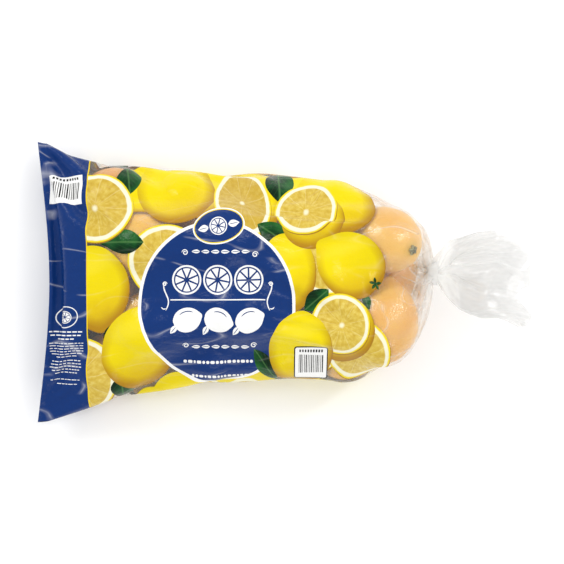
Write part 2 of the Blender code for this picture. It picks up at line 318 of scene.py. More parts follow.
# ---- The stem buttons --------------------------------------------------------------------------------------
# A dry grey-green five-pointed calyx is left at the stem end of each lemon, with the short cut stem inside.
def stem_button(centre, axis, size, turn):
    """A five-lobed disc, cut in between its lobes, with the stub of the stem standing in its middle."""
    bpy.ops.object.select_all(action="DESELECT")
    bpy.ops.mesh.primitive_cylinder_add(vertices=30, radius=0.0046, depth=0.0016, end_fill_type="NGON")
    made = bpy.context.object
    for least, narrow in ((-0.1, 0.80), (0.6, 0.70)):
        points = read_points(made)
        pick(made, np.cos(5 * np.arctan2(points[:, 1], points[:, 0])) < -least)
        bpy.ops.transform.resize(value=(narrow, narrow, 1))
        bpy.ops.object.mode_set(mode="OBJECT")
    points = read_points(made)
    pick(made, points[:, 2] < 0)
    bpy.ops.mesh.inset(thickness=0.0018)
    bpy.ops.transform.translate(value=(0, 0, -0.0009))
    bpy.ops.mesh.inset(thickness=0.0006)
    bpy.ops.transform.resize(value=(0.8, 0.8, 1))
    bpy.ops.mesh.inset(thickness=0.0002)
    bpy.ops.transform.translate(value=(0, 0, -0.0010))
    bpy.ops.object.mode_set(mode="OBJECT")
    pick(made, np.ones(len(made.data.vertices), dtype=bool))
    bpy.ops.transform.rotate(value=turn, orient_axis="Z", center_override=(0, 0, 0))
    bpy.ops.object.mode_set(mode="OBJECT")
    stand_to(made, centre - axis * (LEMON_HALF_LENGTH * size + 0.0001), axis)
    return made


button_rng = np.random.default_rng(8)
made_buttons = [
    stem_button(centres[k], axes[k], sizes[k], button_rng.uniform(0, 2)) for k in range(count)]
buttons = join_all(made_buttons, "stem_buttons")
dry, tree, output = new_material("dry_calyx")
place = add(tree, "ShaderNodeTexCoord").outputs["Object"]
grain = noise(tree, place, 700.0, 4.0)
colour = ramp(tree, grain, (
    (0.3, srgb(96, 98, 60)), (0.55, srgb(150, 150, 104)), (0.75, srgb(196, 190, 146))))
bump = add(tree, "ShaderNodeBump", {"Height": grain, "Strength": 0.6, "Distance": 0.0004})
calyx = add(tree, "ShaderNodeBsdfPrincipled", {
    "Base Color": colour, "Normal": bump.outputs["Normal"], "Roughness": 0.8})
tree.links.new(calyx.outputs[0], output.inputs["Surface"])
buttons.data.materials.append(dry)
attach(buttons, "root")


# ---- The film bag ------------------------------------------------------------------------------------------
# A flat tube of clear film, 254 mm wide and 492 mm long, welded straight across one end, filled, gathered at
# the neck and left open beyond it. Up to the neck it starts as a skin over the lemons and is relaxed at its
# true length, so its slack turns into folds and wrinkles.
GIRTH = 0.508
LENGTH = 0.492
NECK_V = 0.398
SEAL_X = -0.2095
SEAL_BOW = 0.0140
SEAL_Z = 0.045
SEAL_DROOP = 0.022
BODY_START = -0.200
NECK_X = 0.134
NECK_FRONT = 0.1305
NECK_Y = 0.0085
NECK_Z = 0.046
NECK_RADIUS = 0.0100
WELD = 0.007
GROUND_GAP = 0.0003
# half axes of the rounded body that keeps the film off a lemon
SKIN_LONG = 0.0378
SKIN_WIDE = 0.0310
HALF_GATHER = 0.0045  # half the length of film inside the tie
SLICES = 360
BUNDLED = 0.50  # share of the girth that stays folded up inside the tail
# from the last full section to the neck: distance along, share of the full section, a flap's extra share
SHOULDER = ((0.1120, 1.0, 0.0), (0.1180, 0.80, 0.04), (0.1235, 0.54, 0.17), (0.1275, 0.32, 0.26),
            (0.1300, 0.10, 0.30), (NECK_FRONT, 0.0, 0.0))
TAIL_START = 0.1385
# the flared tail: distance along, far edge, near edge, half thickness, height of its middle
TAIL = np.array((
    (0.139, 0.0240, -0.0095, 0.0140, 0.0460), (0.146, 0.0365, -0.0220, 0.0155, 0.0430),
    (0.155, 0.0420, -0.0275, 0.0170, 0.0400), (0.166, 0.0445, -0.0330, 0.0200, 0.0365),
    (0.177, 0.0460, -0.0390, 0.0220, 0.0330), (0.188, 0.0470, -0.0395, 0.0230, 0.0305),
    (0.199, 0.0465, -0.0405, 0.0235, 0.0290), (0.219, 0.0455, -0.0445, 0.0235, 0.0280)))
# the tail's uneven rim: distance across, distance along
RIM = np.array(((-0.0415, 0.2190), (-0.0330, 0.2175), (-0.0200, 0.2100), (-0.0020, 0.2070), (0.0120, 0.2115),
                (0.0234, 0.2165), (0.0350, 0.2030), (0.0440, 0.1900)))


def seal_share(x):
    """One at the seal, fading to nothing where the bag is full."""
    return max(0.0, min(1.0, (BODY_START + 0.05 - x) / 0.05))


def skin_rings(stations, around):
    """Convex sections of the film over the lemons at each station."""
    angle = np.linspace(0, 2 * math.pi, SLICES, endpoint=False)
    side = np.stack([np.cos(angle), np.sin(angle)], 1)
    reach = np.full((len(stations), SLICES), -0.2)
    for c, a, s in zip(centres, axes, sizes):
        wide = LEMON_RADIUS * s
        long = 0.0365 * s
        spread = wide ** 2 * np.eye(3) + (long ** 2 - wide ** 2) * np.outer(a, a)
        along = stations - c[0]
        inside = 1 - along ** 2 / spread[0, 0]
        cut = spread[1:, 1:] - np.outer(spread[1:, 0], spread[0, 1:]) / spread[0, 0]
        middle = c[1:] + along[:, None] * spread[1:, 0] / spread[0, 0]
        support = np.sqrt(np.einsum("ij,jk,ik->i", side, cut, side))
        value = middle @ side.T + np.sqrt(np.maximum(inside, 0))[:, None] * support
        reach = np.where(inside[:, None] > 0, np.maximum(reach, value), reach)
    reach[0] = np.maximum(reach[0], SEAL_Z * side[:, 1] + 0.09 * np.abs(side[:, 0]))
    gap = (stations[:, None] - stations[None]) ** 2 / (2 * 0.16)
    grown = (reach[None] - gap[..., None]).max(1)
    reach = (grown[None] + gap[..., None]).min(1)
    rings = []
    for x, h in zip(stations, reach):
        fade = seal_share(x)
        corner = x - SEAL_BOW * fade
        far = np.interp(corner, OUTLINE[:, 0], OUTLINE[:, 1])
        near = np.interp(corner, OUTLINE[:, 0], OUTLINE[:, 2])
        z = np.interp(x, (-0.2, -0.13, 0.10), (SEAL_Z, 0.040, 0.045))
        thick = np.interp(x, (-0.2, -0.18), (0.004, 0.006))
        mid = np.array([(far + near) / 2, z])
        edge = np.sqrt(((far - near) / 2 * side[:, 0]) ** 2 + (thick * side[:, 1]) ** 2)
        limit = np.where(side[:, 0] > 0, far, -near) / np.maximum(np.abs(side[:, 0]), 1e-6)
        h = np.minimum(h, limit + np.abs(side[:, 1]) * 0.2)
        h = np.maximum(h - side @ mid, edge)
        turn = side @ side.T
        r = np.where(turn > 0.05, h[None] / np.maximum(turn, 0.05), 9.0).min(1)
        ring = mid + side * r[:, None]
        ring[:, 1] = np.maximum(ring[:, 1], 0.0)
        ring = np.vstack([ring, ring[:1]])
        half = SLICES // 2
        even = []
        for piece in (ring[:half + 1], ring[half:]):
            run = np.concatenate([[0], np.cumsum(np.linalg.norm(np.diff(piece, axis=0), axis=1))])
            at = np.linspace(0, run[-1], around // 2, endpoint=False)
            even.append(np.stack([np.interp(at, run, piece[:, n]) for n in (0, 1)], 1))
        ring = np.vstack(even)
        share = np.abs((ring[:, 0] - mid[0]) / ((far - near) / 2)).clip(0, 1)
        z = np.maximum(ring[:, 1] - SEAL_DROOP * fade ** 2 * share ** 2, 0)
        rings.append(np.stack([x - SEAL_BOW * fade * share ** 1.8, ring[:, 0], z], 1))
    return rings


def drawn_film(around, rows):
    """The film as it is drawn over the lemons, its slack folded in as pleats towards the neck."""
    rings = skin_rings(np.linspace(BODY_START, SHOULDER[0][0], 90), around)
    t = np.linspace(0, 1, around // 2, endpoint=False)
    share = np.concatenate([1 - 2 * t, 2 * t - 1])
    far, near = OUTLINE[0, 1:]
    seal = np.stack([SEAL_X - SEAL_BOW * np.abs(share) ** 1.8, (far + near) / 2 + share * (far - near) / 2,
                     SEAL_Z - SEAL_DROOP * share ** 2], 1)
    rings = [seal] + rings
    angle = 2 * math.pi * np.arange(around) / around
    circle = np.stack([np.full(around, NECK_FRONT), NECK_Y + NECK_RADIUS * np.cos(angle),
                       NECK_Z + NECK_RADIUS * np.sin(angle)], 1)
    full = rings[-1]
    for x, left, flap in SHOULDER[1:]:
        left = (left + flap * np.clip(-np.cos(angle), 0, 1) ** 2)[:, None]
        ring = full * left + circle * (1 - left)
        ring[:, 0] = x
        rings.append(ring)
    path = np.stack(rings)
    steps = np.linalg.norm(np.diff(path, axis=0), axis=2)
    run = np.concatenate([np.zeros((1, around)), np.cumsum(steps, axis=0)])
    v = np.linspace(0, LENGTH, rows)
    film = np.zeros((rows, around, 3))
    body = v <= NECK_V - HALF_GATHER
    for i in range(around):
        at = v[body] / (NECK_V - HALF_GATHER) * run[-1, i]
        for k in range(3):
            film[body, i, k] = np.interp(at, run[:, i], path[:, i, k])
    tail_from = NECK_V + HALF_GATHER
    for j in np.nonzero(~body)[0]:
        s = (v[j] - tail_from) / (LENGTH - tail_from)
        if s < 0:
            ring = circle.copy()
            ring[:, 0] = NECK_X + (v[j] - NECK_V)
        else:
            x = np.full(around, TAIL_START + s * 0.08)
            for _ in range(4):
                far, near, thick, mid = [np.interp(x, TAIL[:, 0], TAIL[:, c]) for c in (1, 2, 3, 4)]
                y = (far + near) / 2 + (far - near) / 2 * np.cos(angle)
                x = TAIL_START + s * (np.interp(y, RIM[:, 0], RIM[:, 1]) - TAIL_START)
            ring = np.stack([x, y, mid + thick * np.sin(angle)], 1)
        film[j] = ring
    return crushed(pleated(film, v), v)


def pleated(film, v):
    """Each ring's slack laid in as folds: 13 over the shoulder, 16 at the neck, 5 in the tail."""
    rows, around = film.shape[:2]
    u = np.arange(around) / around
    warp = (0.012 * np.sin(2 * math.pi * (3 * u + 0.2)) + 0.007 * np.sin(2 * math.pi * (7 * u + 0.6))
            + 0.004 * np.sin(2 * math.pi * (13 * u + 0.1)))
    for j in range(rows):
        if v[j] < 0.30:
            continue
        ring = film[j]
        length = np.linalg.norm(np.roll(ring, -1, axis=0) - ring, axis=1).sum()
        mid = ring.mean(0)
        inward = mid - ring
        inward[:, 0] = 0
        inward /= np.linalg.norm(inward, axis=1)[:, None] + 1e-9
        fold = np.zeros(around)
        if v[j] < NECK_V:
            at_neck = math.exp(-((v[j] - NECK_V) / 0.02) ** 2)
            shares = ((16, at_neck), (13, (1 - at_neck) * np.clip((v[j] - 0.30) / 0.06, 0, 1)))
            girth = GIRTH
        else:
            opened = np.clip((v[j] - NECK_V) / 0.030, 0, 1)
            shares = ((16, (1 - opened) ** 2), (5, 1 - (1 - opened) ** 2))
            girth = GIRTH * (1 - BUNDLED * opened) * (1 - 0.02 * opened)
        for folds, weight in shares:
            depth = math.sqrt(max((girth / 2 / folds) ** 2 - (min(length, girth) / 2 / folds) ** 2, 0))
            fold += weight * depth * (1 - 2 * np.abs((folds * (u + warp)) % 1.0 - 0.5))
        film[j] = ring + inward * np.minimum(fold, 0.9 * np.linalg.norm(mid - ring, axis=1))[:, None]
    return film


def crushed(film, v):
    """A slight shake, so that slack has somewhere to start, and broad facets in the tail."""
    rows, around = film.shape[:2]
    rng = np.random.default_rng(3)
    knots = rng.normal(0, 1, (rows // 6 + 2, around, 3))
    at = np.linspace(0, len(knots) - 1.001, rows)
    low = at.astype(int)
    mixed = (at - low)[:, None, None]
    shake = knots[low] * (1 - mixed) + knots[low + 1] * mixed
    shake = (shake + np.roll(shake, 1, 1) + np.roll(shake, -1, 1)) / 3
    film = film + shake * (0.0008 * np.clip(v / 0.02, 0, 1) * (v < NECK_V))[:, None, None]
    columns = 13
    facets = rng.normal(0, 1, (4, columns, 3))
    at = np.clip((v - NECK_V) / (LENGTH - NECK_V), 0, 1) * 2.99
    row = at.astype(int)
    across = np.arange(around) / around * columns
    column = across.astype(int)
    fr = (at - row)[:, None, None]
    fc = (across - column)[None, :, None]
    right = (column + 1) % columns
    crush = ((facets[row][:, column] * (1 - fc) + facets[row][:, right] * fc) * (1 - fr)
             + (facets[row + 1][:, column] * (1 - fc) + facets[row + 1][:, right] * fc) * fr)
    crush *= (0.9, 0.7, 1.0)
    film = film + crush * (0.0064 * np.clip((v - NECK_V - 0.008) / 0.03, 0, 1))[:, None, None]
    film[..., 2] = np.maximum(film[..., 2], 0.0006)
    return film


def pull(a, b, rest, stretch, squeeze):
    """How far two points move towards or away from each other to stand rest apart."""
    d = b - a
    length = np.sqrt((d * d).sum(-1)) + 1e-9
    c = 0.5 * (1 - rest / length)
    return d * np.where(c > 0, c * stretch, c * squeeze)[..., None]


def relax(film, steps, gravity, bend):
    """Bring the film to its true length both ways, over the lemons and above the ground, in small steps."""
    rows, around = film.shape[:2]
    dv = LENGTH / (rows - 1)
    p = film.copy()
    v = np.linspace(0, LENGTH, rows)
    du = GIRTH / around
    slant = np.hypot(du, dv)
    weld = v < WELD
    mate = (-np.arange(around)) % around
    # the tail is crushed film that keeps its shape, so it stays as drawn
    kept = v > NECK_V - HALF_GATHER - 0.0003
    held = film[kept].copy()
    seal = 0.5 * (film[weld] + film[weld][:, mate])
    filled = v < NECK_V - 0.01
    far = ((film[filled].reshape(-1, 1, 3) - centres[None]) ** 2).sum(-1)
    nearest = np.argsort(far, axis=1)[:, :3]
    for _ in range(steps):
        p[..., 2] -= gravity
        m = pull(p[:, 0::2], p[:, 1::2], du, 1, 1)
        p[:, 0::2] += m
        p[:, 1::2] -= m
        m = pull(p[:, 1::2], np.roll(p[:, 0::2], -1, 1), du, 1, 1)
        p[:, 1::2] += m
        p[:, 0::2] -= np.roll(m, 1, 1)
        for s in (0, 1):
            a = p[s:-1:2]
            b = p[s + 1::2]
            n = min(len(a), len(b))
            a, b = a[:n], b[:n]
            m = pull(a, b, dv, 1, 1)
            a += m
            b -= m
            for shift in (-1, 1):
                m = pull(a, np.roll(b, shift, 1), slant, 0.35, 0.35)
                a += m
                b -= np.roll(m, -shift, 1)
        m = pull(p, np.roll(p, -2, 1), 2 * du, 0, bend)
        p += m
        p -= np.roll(m, 2, 1)
        m = pull(p[:-2], p[2:], 2 * dv, 0, bend)
        p[:-2] += m
        p[2:] -= m
        q = p[filled].reshape(-1, 3)
        for k in range(3):
            c = centres[nearest[:, k]]
            a = axes[nearest[:, k]]
            s = sizes[nearest[:, k]]
            d = q - c
            along = (d * a).sum(1)
            across = np.sqrt(np.maximum((d * d).sum(1) - along * along, 0))
            f = np.sqrt((along / (SKIN_LONG * s + REST)) ** 2 + (across / (SKIN_WIDE * s + REST)) ** 2) + 1e-9
            q = np.where((f < 1)[:, None], c + d / f[:, None], q)
        p[filled] = q.reshape(p[filled].shape)
        p[weld] = 0.5 * (p[weld] + p[weld][:, mate])
        p[weld] += 0.6 * (seal - p[weld])
        p[kept] = held
        p[..., 2] = np.maximum(p[..., 2], GROUND_GAP)
    return p


def carried_on(p):
    """One more row at each end, straight on from the last two."""
    return np.concatenate([2 * p[:1] - p[1:2], p, 2 * p[-1:] - p[-2:-1]])


def refine(p):
    """Twice the points each way, on smooth curves through the old ones."""
    rows, around = p.shape[:2]
    wide = np.zeros((rows, around * 2, 3))
    wide[:, 0::2] = p
    wide[:, 1::2] = (9 * (p + np.roll(p, -1, 1)) - np.roll(p, 1, 1) - np.roll(p, -2, 1)) / 16
    more = carried_on(wide)
    out = np.zeros((2 * rows - 1, around * 2, 3))
    out[0::2] = wide
    out[1::2] = (9 * (more[1:-2] + more[2:-1]) - more[:-3] - more[3:]) / 16
    return out


film = relax(drawn_film(100, 98), 500, 2e-5, 0.12)
film = relax(refine(film), 200, 1e-5, 0.10)
film = relax(refine(film), 50, 5e-6, 0.06)
# the welded layers keep their own thickness, so they lie a hair apart up to the cut edge
weld_rows = np.linspace(0, LENGTH, len(film)) < 0.012
side_sign = np.where(np.arange(film.shape[1]) < film.shape[1] // 2, 1.0, -1.0)
side_sign[[0, film.shape[1] // 2]] = 0.0
film[weld_rows, :, 2] += side_sign * 0.00018


def on_film(v, u):
    """Place on the drawn film of a point of the flat film, in metres along it and across it."""
    rows, around = film.shape[:2]
    at_u = (GIRTH / 4 - u) / GIRTH * around
    at_v = np.clip(v / LENGTH * (rows - 1), 0, rows - 1.0001)
    iu = np.floor(at_u).astype(int)
    iv = np.floor(at_v).astype(int)
    fu = at_u - iu
    fv = at_v - iv

    def weights(f):
        return (((2 - f) * f - 1) * f / 2, ((3 * f - 5) * f * f + 2) / 2, ((4 - 3 * f) * f + 1) * f / 2,
                (f - 1) * f * f / 2)

    out = 0
    for a, wv in zip((-1, 0, 1, 2), weights(fv)):
        row = np.clip(iv + a, 0, rows - 1)
        for b, wu in zip((-1, 0, 1, 2), weights(fu)):
            out = out + film[row, (iu + b) % around] * (wv * wu)[:, None]
    return out


# ---- The print ---------------------------------------------------------------------------------------------
# The film is printed with a navy band by the seal, a ring of whole lemons, cut lemons and leaves, and a navy
# medallion with white ornament. Each shape is an inked field of the film itself, placed in millimetres along
# and across the bag as it lies, and laid from there onto the flat film.
CLEAR, NAVY, WHITE, LEMON, SLICE, LEAF, GOLD, BLACK, SHADE = range(9)
MM = 0.001
# the tube opened along one long edge: the face from 127 to -127, then the back, down to -381
FACE = 254
TOP = FACE / 2
FOOT = TOP - 2 * FACE
prints = []


def evened(values, step, least):
    """Rows made to rise by at least a share of the flat film's own step."""
    rise = np.maximum(np.diff(values, axis=0), step * least)
    return np.concatenate([values[:1], values[:1] + np.cumsum(rise, axis=0)])


# where the face of the flat film comes to lie, without its small lumps, and carried on past the bag's edges
soft = film[::2, ::2, :2] / MM
for _ in range(22):
    soft = (np.roll(soft, 1, 1) + 2 * soft + np.roll(soft, -1, 1)) / 4
    more = carried_on(soft)
    soft = (more[:-2] + 2 * soft + more[2:]) / 4
face_step = GIRTH / MM / soft.shape[1]
length_step = LENGTH / MM / (soft.shape[0] - 1)
quarter = soft.shape[1] // 4
lie_x = evened(soft[:, :2 * quarter + 1, 0], length_step, 0.4)
lie_y = soft[:, :2 * quarter + 1, 1].T
far_half = evened(lie_y[quarter::-1], face_step, 0.5)[::-1]
near_half = -evened(-lie_y[quarter:], face_step, 0.5)
lie_y = np.concatenate([far_half[:-1], near_half]).T


def laid(points):
    """Flat film places for places seen from above, both in millimetres."""
    points = np.asarray(points, dtype=float)
    v = np.clip(points[:, 0] + 215.0, 0, 480)
    u = points[:, 1].copy()
    for _ in range(70):
        at_v = v / length_step
        at_u = (TOP - u) / face_step
        iv = np.clip(np.floor(at_v).astype(int), 0, lie_x.shape[0] - 2)
        iu = np.clip(np.floor(at_u).astype(int), 0, lie_x.shape[1] - 2)
        fv = np.clip(at_v - iv, -30, 1)
        fu = at_u - iu
        now = [(table[iv, iu] * (1 - fv) + table[iv + 1, iu] * fv) * (1 - fu)
               + (table[iv, iu + 1] * (1 - fv) + table[iv + 1, iu + 1] * fv) * fu for table in (lie_x, lie_y)]
        v = v + 0.7 * (points[:, 0] - now[0])
        u = np.clip(u + 0.7 * (points[:, 1] - now[1]), -190, 190)
    return np.stack([v, u], 1)


def field(ink, outline, local=None, light=None):
    """An inked field: its outline as the bag lies, and its pattern's own coordinates along that outline."""
    outline = np.asarray(outline, dtype=float)
    if local is None:
        local = np.zeros((len(outline), 2))
    if light is None:
        light = np.zeros(len(outline))
    rows = np.column_stack([outline, local, light])
    # long sides get points between, so that they follow the film
    fine = []
    for start, stop in zip(rows, np.roll(rows, -1, axis=0)):
        pieces = max(1, math.ceil(np.linalg.norm((stop - start)[:2]) / 2.6))
        fine.extend(start + (stop - start) * k / pieces for k in range(pieces))
    fine = np.array(fine)
    prints.append((ink, laid(fine[:, :2]), fine[:, 2:]))


def turned(points, centre, degrees):
    a = math.radians(degrees)
    points = np.asarray(points, dtype=float)
    x = points[:, 0] * math.cos(a) - points[:, 1] * math.sin(a)
    y = points[:, 0] * math.sin(a) + points[:, 1] * math.cos(a)
    return np.stack([x + centre[0], y + centre[1]], 1)


def oval(ink, centre, wide, high, turn=0.0, points=64):
    a = np.linspace(0, 2 * math.pi, points, endpoint=False)
    circle = np.stack([np.cos(a), np.sin(a)], 1)
    field(ink, turned(circle * (wide, high), centre, turn), circle)


def both_sides(x, y, share=1.0):
    """An outline from one side, and the other side mirrored at a share of its height."""
    return np.concatenate([np.stack([x, y], 1), np.stack([x, -y * share], 1)[-2:0:-1]])


def printed_lemon(centre, long, wide, turn, nipple=1.0, points=30):
    """A whole lemon; turn is the way its nipple points. The light coordinate rises towards the lit side."""
    a = np.linspace(0, math.pi, points)
    x, y = lemon_profile(a)
    x = np.where(x > 0, np.cos(a) + (x - np.cos(a)) * nipple * 1.3, np.cos(a))
    shape = both_sides(x, y)
    outline = turned(shape * (long, wide), centre, turn)
    field(SHADE, outline + (0.7, -1.2))
    away = (outline - centre) / max(long, wide)
    field(LEMON, outline, shape / np.linalg.norm(shape, axis=1)[:, None], away @ (-0.30, 0.95))


def printed_slice(centre, wide, high, turn=0.0, tone=0.2):
    """A cut lemon's face; tone 1 is the deepest gold."""
    a = np.linspace(0, 2 * math.pi, 64, endpoint=False)
    circle = np.stack([np.cos(a), np.sin(a)], 1)
    outline = turned(circle * (wide, high), centre, turn)
    field(SHADE, outline + (0.5, -1.0))
    field(SLICE, outline, circle, np.full(64, tone))


def leaf(root, tip, width, belly=0.5):
    """A leaf from root to tip, widest at belly, its two sides bowed."""
    root = np.array(root, dtype=float)
    run = np.array(tip, dtype=float) - root
    length = np.linalg.norm(run)
    turn = math.degrees(math.atan2(run[1], run[0]))
    s = np.linspace(0, 1, 18)
    bow = np.sin(math.pi * s ** (math.log(0.5) / math.log(belly))) ** 0.85
    shape = both_sides(s, bow, 0.92)
    field(LEAF, turned(shape * (length, width / 2), root, turn), shape)


def bar(ink, centre, wide, high, turn=0.0, round_off=0.0):
    a, b, r = wide / 2, high / 2, round_off
    if r:
        q = np.linspace(0, math.pi / 2, 5)
        corners = [(a - r, b - r, 0), (-a + r, b - r, 1), (-a + r, -b + r, 2), (a - r, -b + r, 3)]
        shape = [(cx + r * math.cos(t + n * math.pi / 2), cy + r * math.sin(t + n * math.pi / 2))
                 for cx, cy, n in corners for t in q]
    else:
        shape = [(a, b), (-a, b), (-a, -b), (a, -b)]
    field(ink, turned(shape, centre, turn))


def stroke(ink, points, width):
    """A line through points, of one width apart from its narrowed ends."""
    points = np.asarray(points, dtype=float)
    run = np.gradient(points, axis=0)
    side = np.stack([-run[:, 1], run[:, 0]], 1) / (np.linalg.norm(run, axis=1)[:, None] + 1e-9)
    half = np.sqrt(np.clip(1 - np.linspace(-1, 1, len(points)) ** 4, 0.08, 1))[:, None] * width / 2
    field(ink, np.concatenate([points + side * half, (points - side * half)[::-1]]))


def curl(centre, size, hand):
    a = np.linspace(0, 1.45 * 2 * math.pi, 34)
    r = size * (1 - 0.085 * a)
    stroke(WHITE, np.stack([centre[0] + hand * r * np.cos(a), centre[1] + r * np.sin(a)], 1), 0.9)


def wheel(centre, size, turn=0.0):
    """A plain citrus wheel in white: a ring and eight wedges."""
    oval(WHITE, centre, size, size, 0, 44)
    oval(NAVY, centre, size * 0.88, size * 0.88, 0, 44)
    for k in range(8):
        a = math.radians(turn + 45 * k)
        inner, outer, half = size * 0.16, size * 0.78, math.radians(18.5)
        wedge = [(inner * math.cos(a), inner * math.sin(a))]
        wedge += [(outer * math.cos(a + h), outer * math.sin(a + h)) for h in np.linspace(-half, half, 6)]
        field(WHITE, np.array(wedge) + np.array(centre))


# fruit and leaves, the lowest first; places are millimetres along and across the bag as it lies
for x, y, kind in ((-118, 150, 1), (-74, 136, 2), (-28, 126, 0), (14, 130, 1),
                   (-112, -124, 0), (-66, -122, 1), (-20, -120, 0), (22, -116, 2)):
    if kind == 1:
        printed_slice((x, y), 27, 25, x)
    else:
        printed_lemon((x, y), 30, 25, 40 + x + 90 * kind, 0.8)
    leaf((x + 20, y + 4), (x + 32, y - 14), 15)
printed_slice((-104, 18), 33.5, 32.5, 20)
printed_lemon((-169.5, -4.5), 37, 32.5, -80, 0.6)
printed_slice((-181.5, -83.5), 32.5, 33.5, 10)
leaf((-149, -36), (-159, -58.5), 13.5, 0.5)
leaf((-145.5, -81), (-145.5, -104.5), 21.5, 0.6)
printed_lemon((-129, -57.5), 38, 31.5, 60, 0.5)
printed_lemon((-70, 86.5), 30.5, 25, 86, 0.4)
printed_lemon((-97, 83), 34, 30.5, -10, 0.5)
leaf((-142, 102.5), (-137, 79), 23.5, 0.5)
leaf((-166, 35), (-123, 35), 21.5, 0.62)
printed_slice((-167, 65.5), 33.5, 30.5, 0, 0.45)
printed_lemon((-32, 71), 29.5, 36, 0, 0.3)
leaf((-5, 102.5), (-3, 72), 27, 0.45)
printed_slice((-36.5, 70), 24.5, 32.5, 20, 1.0)
leaf((-23, 50.5), (7, 32.5), 19, 0.5)
printed_slice((34.5, 18), 27, 30.5, 40)
printed_lemon((4, 9), 34, 24.5, -86, 0.4)
printed_lemon((44, 70.5), 36, 27.5, -14, 0.25)
printed_lemon((25.5, 56), 28, 25, 15, 0.0)
printed_slice((20, 65), 28, 22.5, 14)
leaf((40, -6.5), (18.5, -24.5), 19, 0.5)
leaf((70.5, -9), (75, -24.5), 8, 0.5)
printed_slice((65, -59.5), 27, 29, 55)
printed_lemon((59, 15.5), 30.5, 28, 146, 1.0)
printed_lemon((52.5, -40.5), 27, 29, 0, 0.0)
printed_slice((50, -37), 26, 27, 12, 0.0)

# the five sepals of the printed lemon that lies highest
STEM = (81.5, -1.5)
for turn in (20, 100, 165, 240, 310):
    a = math.radians(turn)
    leaf(STEM, (STEM[0] + 5.5 * math.cos(a), STEM[1] + 5.5 * math.sin(a)), 2.6)

# medallion
MEDAL = (-59.0, -18.9)
oval(WHITE, MEDAL, 69.6, 72.6, 0, 120)
oval(NAVY, MEDAL, 66.9, 69.9, 0, 120)


def white_lemon(centre, long, wide, turn):
    """A plain white lemon with one highlight line."""
    a = np.linspace(0, math.pi, 22)
    x, y = lemon_profile(a)
    field(WHITE, turned(both_sides(x * long, y * wide), centre, turn))
    arc = np.linspace(0.7, 2.2, 12)
    shine = np.stack([long * 0.72 * np.cos(arc), wide * 0.68 * np.sin(arc)], 1)
    stroke(NAVY, turned(shine, centre, turn), 0.9)


def white_leaf(root, length, width, turn):
    s = np.linspace(0, 1, 14)
    bow = np.sin(math.pi * s ** 0.8) ** 0.85 * width / 2
    field(WHITE, turned(both_sides(s * length, bow), root, turn))
    rib = [(t * length * 0.78 + 0.1 * length, 0) for t in np.linspace(0, 1, 6)]
    stroke(NAVY, turned(rib, root, turn), 0.6)


def garland(middle, count, pitch, length):
    """A row of small leaves that point outwards from the middle."""
    for k in range(count):
        x = middle[0] + (k - (count - 1) / 2) * pitch
        hand = 1 if k >= count / 2 else -1
        white_leaf((x - hand * length / 2, middle[1]), length, length * 0.46, 0 if hand > 0 else 180)


def ruled(start, stop, y, high, seed):
    """A thin row of short dashes of uneven length."""
    dash = np.random.default_rng(seed)
    x = start
    while x < stop - 2:
        wide = min(dash.uniform(1.6, 4.2), stop - x)
        bar(WHITE, (x + wide / 2, y), wide, high, 0, high * 0.4)
        x += wide + 1.0


APART = 27.6
for k in range(3):
    wheel((-85.7 + APART * k, 1.8), 13.0, 12 * k)
bar(WHITE, (-58.1, -15.8), 84, 1.0)
for k in range(3):
    white_lemon((-85.1 + APART * k, -33.3), 12.4, 10.6, (18, -14, 22)[k])
    white_leaf((-94.6 + APART * k, -38.8), 8.5, 5.0, (-130, -120, -128)[k])
garland((-55.4, 27.0), 6, 8.8, 7.4)
garland((-56.2, -58.5), 6, 8.8, 7.4)
ruled(-89.5, -24.8, -71.1, 2.4, 1)
ruled(-82.4, -31.9, -83.7, 2.4, 2)
for x, y, hand in ((-86.9, 26.1, -1), (-24.8, 24.3, 1), (-86.9, -56.7, -1), (-26.6, -56.7, 1)):
    curl((x, y), 2.8, hand)
# a scroll at each end of the rule
for x, hand in ((-104.0, 1), (-12.2, -1)):
    s = np.linspace(0, 1, 24)
    stroke(WHITE, np.stack([x + hand * 2.2 * np.sin(s * 5.2), -25.2 + 24 * s], 1), 1.1)
    curl((x - hand * 1.2, -1.8), 2.0, hand)
    stroke(WHITE, [(x - hand * 4 * t, -23.4 - 3 * t + 4 * t * t) for t in np.linspace(0, 1, 8)], 0.9)

# oval badge on the medallion: a citrus wheel between two leaves
BADGE = (-57.1, 48.6)
oval(WHITE, BADGE, 23.0, 15.2, 10)
oval(GOLD, BADGE, 22.0, 14.2, 10)
oval(NAVY, BADGE, 21.2, 13.4, 10)
for hand in (-1, 1):
    white_leaf((BADGE[0] + hand * 8.6, BADGE[1] + hand * 1.4), 9.6, 6.0, 10 if hand > 0 else 190)
wheel(BADGE, 7.6, 10)

# over the medallion's edge
leaf((-6, -88), (-26.5, -60.5), 15.5, 0.5)
printed_lemon((15, -59.5), 32.5, 28, 86, 0.35)

# band by the seal, with the weld's own strip left in the same ink
BAND = -176.0
across = np.linspace(-150, 150, 61)
edge = np.stack([np.full(61, BAND), across], 1)
field(NAVY, np.concatenate([edge, [(-260, 150), (-260, -150)]]))
field(GOLD, np.concatenate([edge + (1.0, 0), edge[::-1]]))
BAND_BADGE = (-194.8, -31.5)
oval(WHITE, BAND_BADGE, 11.2, 9.6, 20, 40)
oval(NAVY, BAND_BADGE, 10.4, 8.8, 20, 40)
wheel(BAND_BADGE, 5.6, 5)
